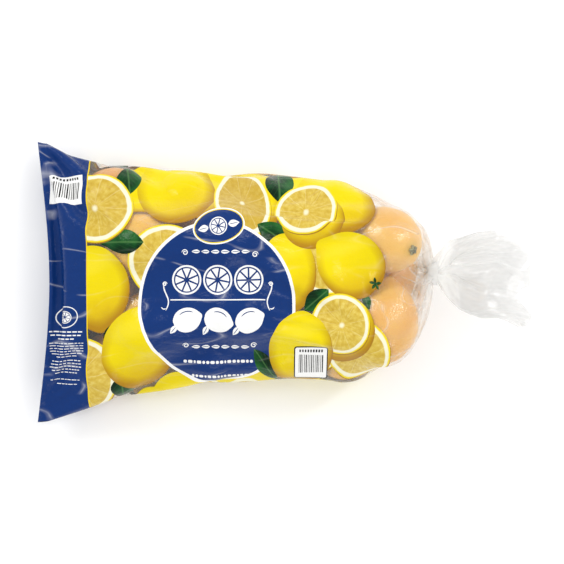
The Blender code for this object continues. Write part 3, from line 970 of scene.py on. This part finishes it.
# four blocks of small white rows, the last row of each one shorter: first row, rows, spacing, height
ROW_MIDDLE = -195.5
dash_rng = np.random.default_rng(14)
for first, rows, pitch, high in (
        (-44.6, 3, 3.2, 1.1), (-55, 6, 2.4, 0.65), (-71, 5, 2.7, 0.72), (-88, 2, 4, 0.65)):
    for k in range(rows):
        wide = dash_rng.uniform(26, 32) * (0.65 if k == rows - 1 else 1)
        x = ROW_MIDDLE - wide / 2
        while x < ROW_MIDDLE + wide / 2 - 1.5:
            dash = min(dash_rng.uniform(1.8, 4.6), ROW_MIDDLE + wide / 2 - x)
            bar(WHITE, (x + dash / 2, first - k * pitch), dash, high)
            x += dash + 0.9


def plain_bars(centre, wide, high, border):
    """A white patch with plain upright bars, evenly repeated, under a row of square dots."""
    if border:
        bar(BLACK, centre, wide + 2.0, high + 2.0, 0, 2.2)
    bar(WHITE, centre, wide, high, 0, 1.6 if border else 0.3)
    step = wide * 0.8 / 14
    for k in range(14):
        thick = step * (0.34, 0.62, 0.34)[k % 3]
        bar(BLACK, (centre[0] + (k - 6.5) * step, centre[1] - 0.5), thick, high * 0.58)
    for k in range(9):
        bar(BLACK, (centre[0] + (k - 4) * step * 1.5, centre[1] + high * 0.40), step * 0.9, high * 0.08)


plain_bars((-195.8, 82.8), 31.5, 25, False)
plain_bars((24.3, -72.5), 28, 27, True)

# the same print again on the back, under what reaches round from the face
face_prints = prints
prints = []
for shift in (-FACE, FACE, 0, -2 * FACE):
    for ink, outline, local in face_prints:
        moved = outline + (0, shift)
        if moved[:, 1].max() > FOOT and moved[:, 1].min() < TOP:
            prints.append((ink, moved, local))

# flat film, cut along the outlines of its print
u_lines = np.linspace(TOP, FOOT, 245)
v_lines = np.linspace(0, LENGTH / MM, 237)
grid_v, grid_u = np.meshgrid(v_lines, u_lines, indexing="ij")
flat = np.stack([grid_v.ravel(), grid_u.ravel()], 1)
border = (flat[:, 1] > TOP - 0.1) | (flat[:, 1] < FOOT + 0.1)
border |= (flat[:, 0] < 0.01) | (flat[:, 0] > v_lines[-1] - 0.01)
crowded = np.zeros(len(flat), dtype=bool)
points = []
edges = []
for ink, outline, _ in prints:
    shape = outline.copy()
    shape[:, 0] = np.clip(shape[:, 0], 0, v_lines[-1])
    shape[:, 1] = np.clip(shape[:, 1], FOOT, TOP)
    start = len(points)
    points.extend(shape)
    edges.extend((start + k, start + (k + 1) % len(shape)) for k in range(len(shape)))
    nxt = np.roll(shape, -1, axis=0)
    low = shape.min(0) - 1
    high = shape.max(0) + 1
    near = np.nonzero(((flat > low) & (flat < high)).all(1) & ~border)[0]
    if len(near):
        d = flat[near][:, None] - shape[None]
        run = nxt - shape
        t = np.clip((d * run[None]).sum(-1) / ((run * run).sum(-1)[None] + 1e-9), 0, 1)
        away = np.linalg.norm(d - t[..., None] * run[None], axis=-1).min(1)
        crowded[near[away < 0.55]] = True
keep = flat[~crowded]
everything = np.vstack([keep, np.array(points)])
shift = len(keep)
flat_points, _, flat_faces, *_ = delaunay_2d_cdt(
    [Vector(p) for p in everything], [(a + shift, b + shift) for a, b in edges], [], 0, 1e-3)
flat_points = np.array([tuple(p) for p in flat_points])
flat_faces = np.array([f for f in flat_faces if len(f) == 3])
corner = flat_points[flat_faces]
area = np.cross(corner[:, 1] - corner[:, 0], corner[:, 2] - corner[:, 0])
flat_faces = flat_faces[np.abs(area) > 1e-5]
area = area[np.abs(area) > 1e-5]
flat_faces[area < 0] = flat_faces[area < 0][:, ::-1]

# the ink of each triangle is that of the last field that holds its middle
middle = flat_points[flat_faces].mean(1)
ink_of = np.zeros(len(flat_faces), dtype=int)
print_of = np.full(len(flat_faces), -1)
for n, (ink, outline, *_) in enumerate(prints):
    low = outline.min(0)
    high = outline.max(0)
    near = np.nonzero(((middle >= low) & (middle <= high)).all(1))[0]
    if not len(near):
        continue
    x, y = middle[near, 0], middle[near, 1]
    inside = np.zeros(len(near), dtype=bool)
    nxt = np.roll(outline, -1, axis=0)
    for (x0, y0), (x1, y1) in zip(outline, nxt):
        if y0 == y1:
            continue
        inside ^= ((y0 > y) != (y1 > y)) & (x < (x1 - x0) * (y - y0) / (y1 - y0) + x0)
    ink_of[near[inside]] = ink
    print_of[near[inside]] = n


def sheet_object(name, points, faces):
    mesh = bpy.data.meshes.new(name)
    mesh.from_pydata(np.asarray(points, dtype=float).tolist(), [], faces)
    mesh.shade_smooth()
    made = bpy.data.objects.new(name, mesh)
    bpy.context.collection.objects.link(made)
    return made


bag_points = on_film(flat_points[:, 0] * MM, flat_points[:, 1] * MM)
bag = sheet_object("film_bag", bag_points, flat_faces.tolist())
mesh = bag.data
mesh.polygons.foreach_set("material_index", ink_of.astype(np.int32))
film_map = mesh.uv_layers.new(name="film")
uv = flat_points[flat_faces.ravel()] * MM
film_map.data.foreach_set("uv", uv.astype(np.float32).ravel())


def inner_values(points, outline, values):
    """Values known along an outline, carried smoothly inwards to points (mean value coordinates)."""
    d = outline[None] - points[:, None]
    r = np.linalg.norm(d, axis=2) + 1e-6
    nxt = np.roll(d, -1, axis=1)
    sine = d[..., 0] * nxt[..., 1] - d[..., 1] * nxt[..., 0]
    cosine = (d * nxt).sum(-1)
    half = np.tan(np.clip(np.arctan2(sine, cosine) / 2, -1.5, 1.5))
    weight = (half + np.roll(half, 1, axis=1)) / r
    return weight @ values / weight.sum(1)[:, None]


local_at = np.zeros((len(flat_faces), 3, 3))
for n, (ink, outline, local) in enumerate(prints):
    rows = print_of == n
    if ink in (LEMON, SLICE, LEAF) and rows.any():
        corners = flat_points[flat_faces[rows]].reshape(-1, 2)
        local_at[rows] = inner_values(corners, outline, local).reshape(-1, 3, 3)
inked = mesh.attributes.new("inked", "FLOAT_VECTOR", "CORNER")
inked.data.foreach_set("vector", local_at.astype(np.float32).ravel())
# the tube's long seam is closed
bpy.ops.object.select_all(action="DESELECT")
bpy.context.view_layer.objects.active = bag
bag.select_set(True)
bpy.ops.object.mode_set(mode="EDIT")
bpy.ops.mesh.select_all(action="SELECT")
bpy.ops.mesh.remove_doubles(threshold=0.00001)
bpy.ops.object.mode_set(mode="OBJECT")
mesh.shade_smooth()


def film_place(tree):
    """Where a point lies on the flat film, along it and across it."""
    return add(tree, "ShaderNodeUVMap", uv_map="film").outputs["UV"]


def mix_shader(tree, share, first, second):
    links = {0: share, 1: first.outputs[0], 2: second.outputs[0]}
    return add(tree, "ShaderNodeMixShader", links)


# film surface: long soft draws, small crinkles and faint haze, shared by the clear film and every ink
crinkle = bpy.data.node_groups.new("film_crinkle", "ShaderNodeTree")
crinkle.interface.new_socket(name="Strength", in_out="INPUT", socket_type="NodeSocketFloat")
crinkle.interface.new_socket(name="Normal", in_out="OUTPUT", socket_type="NodeSocketVector")
crinkle.interface.new_socket(name="Haze", in_out="OUTPUT", socket_type="NodeSocketFloat")
crinkle.interface.new_socket(name="Crease", in_out="OUTPUT", socket_type="NodeSocketFloat")
group_in = crinkle.nodes.new("NodeGroupInput")
group_out = crinkle.nodes.new("NodeGroupOutput")
film_uv = film_place(crinkle)
draws = add(crinkle, "ShaderNodeMapping", {"Vector": film_uv, "Scale": (1.0, 2.6, 1.0)})
long_waves = noise(crinkle, draws.outputs[0], 30.0, 1.0, Distortion=0.3)
creases = noise(crinkle, film_uv, 110.0, 3.0, Distortion=1.2)
folds = noise(crinkle, draws.outputs[0], 13.0, 0.0, Distortion=0.5)
off_crease = maths(crinkle, "ABSOLUTE", maths(crinkle, "SUBTRACT", creases, 0.5))
off_fold = maths(crinkle, "ABSOLUTE", maths(crinkle, "SUBTRACT", folds, 0.5))
sharp = plus(crinkle, off_crease, times(crinkle, off_fold, 2.2))
height = plus(crinkle, long_waves, times(crinkle, sharp, 0.8))
bump = add(crinkle, "ShaderNodeBump", {
    "Height": height, "Strength": group_in.outputs["Strength"], "Distance": 0.002})
crinkle.links.new(bump.outputs["Normal"], group_out.inputs["Normal"])
crinkle.links.new(long_waves, group_out.inputs["Haze"])
# thin lines, here and there, where a fold has been pressed in; the clear film and the inks are painted
# lighter along them, as painted highlights
line = ramp(crinkle, off_fold, ((0.0, grey(1)), (0.011, grey(0.35)), (0.03, grey(0))))
here = fade(crinkle, long_waves, 0.44, 0.58, 0, 1)
crinkle.links.new(times(crinkle, line, here), group_out.inputs["Crease"])


def crinkled(tree, strength):
    node = add(tree, "ShaderNodeGroup")
    node.node_tree = crinkle
    node.inputs["Strength"].default_value = strength
    return node


clear, tree, output = new_material("clear_film")
film_uv = film_place(tree)
along_film = add(tree, "ShaderNodeSeparateXYZ", {"Vector": film_uv}).outputs["X"]
along_film = times(tree, along_film, 2.0)
bunched = ramp(tree, along_film, (
    (0.54, grey(0.10)), (0.68, grey(0.20)), (0.77, grey(0.34)),
    (0.83, grey(0.34)), (0.87, grey(0.66)), (0.985, grey(0.66)),
    (0.990, grey(0.85))))
# the haze is one film, painted lighter over the neck and greyer over the crushed tail: painted light and
# painted shade of its gathered layers
haze_light_and_shade = ramp(tree, along_film, (
    (0.60, (0.86, 0.86, 0.85, 1)), (0.76, (0.95, 0.95, 0.94, 1)),
    (0.82, (0.95, 0.95, 0.94, 1)), (0.87, (0.73, 0.73, 0.72, 1)),
    (0.985, (0.73, 0.73, 0.72, 1)), (0.990, (0.56, 0.56, 0.55, 1))))
loose = ramp(tree, along_film, (
    (0.50, grey(0.4)), (0.64, grey(0.8)), (0.82, grey(0.6)), (0.86, grey(0.2))))
skin = crinkled(tree, 0.45)
tree.links.new(loose, skin.inputs["Strength"])
sheen = add(tree, "ShaderNodeFresnel", {"IOR": 1.45, "Normal": skin.outputs["Normal"]})
through = add(tree, "ShaderNodeBsdfTransparent", {"Color": (0.996, 0.996, 0.992, 1.0)})
gloss = add(tree, "ShaderNodeBsdfGlossy", {
    "Color": grey(1), "Roughness": 0.13, "Normal": skin.outputs["Normal"]})
milk_front = add(tree, "ShaderNodeBsdfDiffuse", {"Color": haze_light_and_shade})
milk_back = add(tree, "ShaderNodeBsdfTranslucent", {"Color": haze_light_and_shade})
milk = mix_shader(tree, 0.5, milk_front, milk_back)
haze = times(tree, plus(tree, times(tree, skin.outputs["Haze"], 1.4), 0.3), bunched, True)
# along the crease lines the haze is made whiter: painted highlights on the folds
pressed = times(tree, times(tree, skin.outputs["Crease"], loose), 0.5)
haze = plus(tree, haze, pressed, True)
veil = mix_shader(tree, haze, through, milk)
# crushed film turns more of its facets to the light
most = fade(tree, along_film, 0.80, 0.88, 0.30, 0.42)
shine = times(tree, sheen.outputs[0], times(tree, most, 3.3))
both = maths(tree, "MINIMUM", shine, most)
surface = mix_shader(tree, both, veil, gloss)
# thin film takes next to nothing from the light that falls through it
path = add(tree, "ShaderNodeLightPath")
clear_light = add(tree, "ShaderNodeBsdfTransparent", {"Color": (0.992, 0.992, 0.988, 1.0)})
surface = mix_shader(tree, path.outputs["Is Shadow Ray"], surface, clear_light)
tree.links.new(surface.outputs[0], output.inputs["Surface"])


def ink_material(name, colour_of, strength=0.5, crease_highlight=0.06):
    made, tree, output = new_material(name)
    skin = crinkled(tree, strength)
    colour = mix_colour(tree, 1.0, colour_of(tree), grey(0.89), "MULTIPLY")
    # where the film has a crease line the ink is painted whiter: painted highlights along the creases
    colour = mix_colour(tree, times(tree, skin.outputs["Crease"], crease_highlight), colour, grey(0.9))
    ink = add(tree, "ShaderNodeBsdfPrincipled", {
        "Base Color": colour, "Normal": skin.outputs["Normal"], "Roughness": 0.19,
        "Specular IOR Level": 0.16})
    # ink on thin film lets part of the light through to the fruit
    lit = add(tree, "ShaderNodeBsdfTransparent", {"Color": colour})
    path = add(tree, "ShaderNodeLightPath")
    share = times(tree, path.outputs["Is Shadow Ray"], 0.42)
    surface = mix_shader(tree, share, ink, lit)
    tree.links.new(surface.outputs[0], output.inputs["Surface"])
    return made


def plain(r, g, b, wear=0.04):
    def build(tree):
        film_uv = film_place(tree)
        base = srgb(r, g, b)[:3]
        dark = (*[c * (1 - wear * 3) for c in base], 1.0)
        bright = (*[min(1, c * (1 + wear)) for c in base], 1.0)
        return mix_colour(tree, noise(tree, film_uv, 260.0), dark, bright)
    return build


def print_uv(tree):
    return add(tree, "ShaderNodeAttribute", attribute_name="inked").outputs["Vector"]


def lemon_ink(tree):
    """Bright yellow, lit from above and to one side, with a gold shade low down, a darker rim and pores."""
    parts = add(tree, "ShaderNodeSeparateXYZ", {"Vector": print_uv(tree)})
    x, y, light = parts.outputs["X"], parts.outputs["Y"], parts.outputs["Z"]
    flat = add(tree, "ShaderNodeCombineXYZ", {0: x, 1: y})
    rim = add(tree, "ShaderNodeVectorMath", {0: flat.outputs[0]}, operation="LENGTH").outputs["Value"]
    film_uv = film_place(tree)
    mottle = maths(tree, "SUBTRACT", noise(tree, film_uv, 90.0, 3.0), 0.5)
    fall = plus(tree, times(tree, light, 0.50), 0.49)
    fall = plus(tree, fall, times(tree, mottle, 0.16))
    colour = ramp(tree, fall, (
        (0.05, srgb(204, 166, 24)), (0.22, srgb(222, 190, 20)), (0.44, srgb(235, 212, 8)),
        (0.70, srgb(238, 216, 8)), (0.95, srgb(239, 218, 14))))
    shade = fade(tree, rim, 0.72, 1.0, 0, 1)
    low = maths(tree, "SUBTRACT", 0.85, fall, True)
    shade = times(tree, shade, plus(tree, times(tree, low, 1.5), 0.16))
    colour = mix_colour(tree, shade, colour, srgb(178, 132, 24))
    from_glow = add(tree, "ShaderNodeCombineXYZ", {
        0: maths(tree, "SUBTRACT", light, 0.52), 1: times(tree, rim, 0.25)})
    spot = add(tree, "ShaderNodeVectorMath", {0: from_glow.outputs[0]}, operation="LENGTH")
    glow = fade(tree, spot.outputs["Value"], 0.08, 0.30)
    colour = mix_colour(tree, times(tree, glow, 0.15), colour, srgb(252, 240, 110))
    pores = add(tree, "ShaderNodeTexVoronoi", {"Vector": film_uv, "Scale": 520.0})
    pit = fade(tree, pores.outputs["Distance"], 0.0, 0.30)
    return mix_colour(tree, times(tree, pit, 0.13), colour, srgb(214, 176, 20))


def slice_ink(tree):
    """A cut face: yellow rim, cream pith, gold flesh in ten wedges, cream core."""
    parts = add(tree, "ShaderNodeSeparateXYZ", {"Vector": print_uv(tree)})
    flat = add(tree, "ShaderNodeCombineXYZ", {0: parts.outputs["X"], 1: parts.outputs["Y"]})
    radius = add(tree, "ShaderNodeVectorMath", {0: flat.outputs[0]}, operation="LENGTH").outputs["Value"]
    angle = maths(tree, "ARCTAN2", parts.outputs["Y"], parts.outputs["X"])
    film_uv = film_place(tree)
    wobble = times(tree, maths(tree, "SUBTRACT", noise(tree, film_uv, 120.0, 3.0), 0.5), 0.05)
    radius = plus(tree, radius, wobble)
    polar = add(tree, "ShaderNodeCombineXYZ", {0: times(tree, angle, 2.2), 1: times(tree, radius, 1.6)})
    streaks = noise(tree, polar.outputs[0], 2.6, 4.0, Roughness=0.62)
    cells = noise(tree, film_uv, 260.0)
    pulp = plus(tree, times(tree, streaks, 0.6), times(tree, cells, 0.4))
    flesh = ramp(tree, pulp, (
        (0.36, srgb(200, 166, 58)), (0.5, srgb(216, 187, 78)), (0.64, srgb(230, 208, 108))))
    flesh = mix_colour(tree, times(tree, parts.outputs["Z"], 0.5), flesh, srgb(186, 148, 46))
    turn = plus(tree, times(tree, angle, 4.5), times(tree, wobble, 9.0))
    wall = maths(tree, "ABSOLUTE", maths(tree, "SINE", turn))
    wall = fade(tree, wall, 0.0, 0.13)
    flesh = mix_colour(tree, times(tree, wall, 0.42), flesh, srgb(240, 228, 158))
    core = fade(tree, radius, 0.04, 0.11)
    colour = mix_colour(tree, core, flesh, srgb(244, 238, 200))
    pith = fade(tree, radius, 0.825, 0.850, 0, 1)
    colour = mix_colour(tree, pith, colour, srgb(243, 240, 212))
    rind = fade(tree, radius, 0.935, 0.965, 0, 1)
    return mix_colour(tree, rind, colour, srgb(238, 214, 30))


def leaf_ink(tree):
    """Glossy green, paler along the midrib and side veins, dark at one edge."""
    parts = add(tree, "ShaderNodeSeparateXYZ", {"Vector": print_uv(tree)})
    x, y = parts.outputs["X"], parts.outputs["Y"]
    film_uv = film_place(tree)
    tone = plus(tree, times(tree, y, 0.25), noise(tree, film_uv, 70.0, 3.0))
    colour = ramp(tree, tone, ((0.28, srgb(6, 38, 16)), (0.5, srgb(10, 66, 28)), (0.78, srgb(36, 100, 42))))
    off_rib = maths(tree, "ABSOLUTE", y)
    rib = fade(tree, off_rib, 0.02, 0.10)
    side = plus(tree, times(tree, x, 16.0), times(tree, off_rib, -9.0))
    vein = fade(tree, maths(tree, "ABSOLUTE", maths(tree, "SINE", side)), 0.0, 0.16)
    lines = maths(tree, "MAXIMUM", rib, times(tree, vein, 0.45))
    return mix_colour(tree, times(tree, lines, 0.4), colour, srgb(100, 150, 84))


inks = (
    # the navy ink takes the strongest painted crease highlights
    ink_material("navy_ink", plain(17, 53, 117), 0.6, 0.28),
    ink_material("white_ink", plain(250, 250, 248, 0.01)),
    ink_material("lemon_ink", lemon_ink),
    ink_material("slice_ink", slice_ink),
    ink_material("leaf_ink", leaf_ink),
    ink_material("gold_ink", plain(247, 214, 30)),
    ink_material("black_ink", plain(28, 28, 30)),
    ink_material("shade_ink", plain(176, 128, 34, 0.10)))
for made in (clear, *inks):
    mesh.materials.append(made)
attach(bag, "root")
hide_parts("bag")


# ---- The neck tie ------------------------------------------------------------------------------------------
# A band of clear plastic pulled once round the gathered neck, its free end left standing.
tie_plastic, tree, output = new_material("clear_tie_plastic")
place = add(tree, "ShaderNodeTexCoord").outputs["Object"]
bump = add(tree, "ShaderNodeBump", {
    "Height": noise(tree, place, 300.0), "Strength": 0.4, "Distance": 0.0005})
sheen = add(tree, "ShaderNodeFresnel", {"IOR": 1.5, "Normal": bump.outputs["Normal"]})
through = add(tree, "ShaderNodeBsdfTransparent", {"Color": (0.98, 0.98, 0.975, 1.0)})
gloss = add(tree, "ShaderNodeBsdfPrincipled", {
    "Base Color": (0.95, 0.95, 0.945, 1.0), "Roughness": 0.16, "Normal": bump.outputs["Normal"]})
both = plus(tree, maths(tree, "MINIMUM", sheen.outputs[0], 0.4), 0.30, True)
surface = mix_shader(tree, both, through, gloss)
tree.links.new(surface.outputs[0], output.inputs["Surface"])
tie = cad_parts["neck_tie"]
for slot in tie.material_slots:
    slot.material = tie_plastic


# ---- Ground, light and camera ------------------------------------------------------------------------------
# A plain white table, a broad overhead softbox, a long window-like strip for the film's gloss, and a long
# lens looking straight down.
bpy.ops.mesh.primitive_plane_add(size=6.0, location=(0, 0, -0.0005))
ground = bpy.context.object
ground.name = "ground"
white, tree, output = new_material("white_table")
paint = add(tree, "ShaderNodeBsdfPrincipled", {
    "Base Color": grey(0.93), "Roughness": 0.7, "Specular IOR Level": 0.2})
tree.links.new(paint.outputs[0], output.inputs["Surface"])
ground.data.materials.append(white)
for name, place, aim, size, power, shape in (
        ("softbox", (-1.3, 1.3, 1.5), (0, 0, 0), (0.9, 0.7), 15.5, "RECTANGLE"),
        ("strip", (0.9, 0.5, 1.0), (0.1, 0, 0.05), (0.07, 1.4), 5.6, "RECTANGLE"),
        ("fill", (0.4, -1.8, 1.2), (0, 0, 0.05), (1.2, 0.4), 5.6, "RECTANGLE")):
    light = bpy.data.lights.new(name, "AREA")
    light.shape = shape
    light.size, light.size_y = size
    light.energy = power
    lamp = bpy.data.objects.new(name, light)
    lamp.location = place
    lamp.rotation_euler = (Vector(aim) - Vector(place)).to_track_quat("-Z", "Y").to_euler()
    bpy.context.collection.objects.link(lamp)
world = bpy.data.worlds.new("studio")
world.use_nodes = True
tree = world.node_tree
sky = tree.nodes["Background"]
sky.inputs["Strength"].default_value = 0.96
path = add(tree, "ShaderNodeLightPath")
dim = add(tree, "ShaderNodeMixRGB", {
    0: path.outputs["Is Glossy Ray"], 1: grey(1), 2: (0.62, 0.62, 0.63, 1.0)})
tree.links.new(dim.outputs[0], sky.inputs["Color"])
bpy.context.scene.world = world

lens = bpy.data.cameras.new("camera")
camera = bpy.data.objects.new("camera", lens)
bpy.context.collection.objects.link(camera)
CAMERA_HEIGHT = 2.45
SEEN_WIDTH = 0.5076  # width of the view at the height below
SEEN_HEIGHT = 0.045
camera.location = (-0.0013, 0.0, CAMERA_HEIGHT)
camera.rotation_euler = (0.0, 0.0, 0.0)
lens.sensor_width = 36.0
lens.lens = 36.0 * (CAMERA_HEIGHT - SEEN_HEIGHT) / SEEN_WIDTH
lens.clip_end = 20.0
bpy.context.scene.camera = camera
bpy.context.scene.view_settings.view_transform = "Standard"
bpy.context.scene.cycles.transparent_max_bounces = 48
